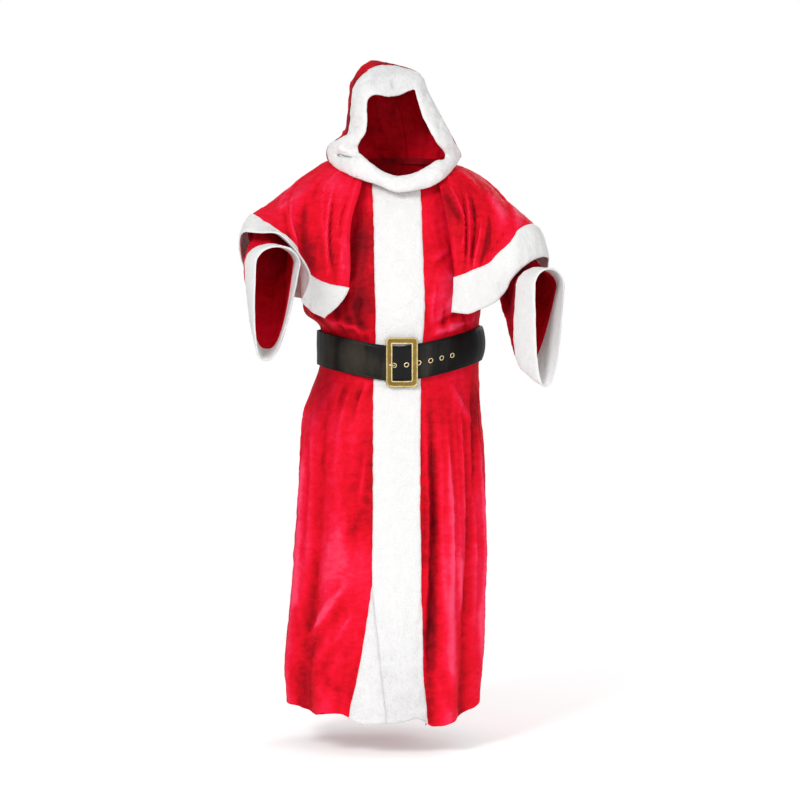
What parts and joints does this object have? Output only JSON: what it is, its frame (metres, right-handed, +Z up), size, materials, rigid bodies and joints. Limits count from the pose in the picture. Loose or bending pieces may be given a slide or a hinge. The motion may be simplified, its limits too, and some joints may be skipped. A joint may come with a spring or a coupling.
{
  "type": "santa suit",
  "caption": "Floor-length red velvet hooded robe with bell sleeves, open capelet, white plush bands and a wide black buckled belt, in its worn hollow form.",
  "frame": {"origin": "base of the neck, midway between the shoulders, where the wearer holds the robe up", "axes": "+Z up along the robe's length, -Y to the front, +X to the wearer's left"},
  "size_m": [0.8241, 0.6104, 1.7271],
  "materials": {
    "velvet": "crushed red velvet with a soft sheen",
    "plush": "short white plush pile",
    "leather": "semi-gloss black faux leather",
    "brass": "antique gold metal"
  },
  "bodies": {
    "root": {"robe_front_right": "velvet", "robe_front_left": "velvet", "robe_back": "velvet", "sleeve_right": "velvet", "sleeve_left": "velvet", "capelet_right": "velvet", "capelet_left": "velvet", "hood_right": "velvet", "hood_left": "velvet", "front_band_right": "plush", "front_band_left": "plush", "sleeve_cuff_right": "plush", "sleeve_cuff_left": "plush", "capelet_band_right": "plush", "capelet_band_left": "plush", "face_band": "plush", "belt": "leather", "buckle_frame": "brass", "buckle_prong": "brass", "eyelet_1": "brass", "eyelet_2": "brass", "eyelet_3": "brass", "eyelet_4": "brass", "eyelet_5": "brass", "eyelet_6": "brass"}
  },
  "joints": []
}
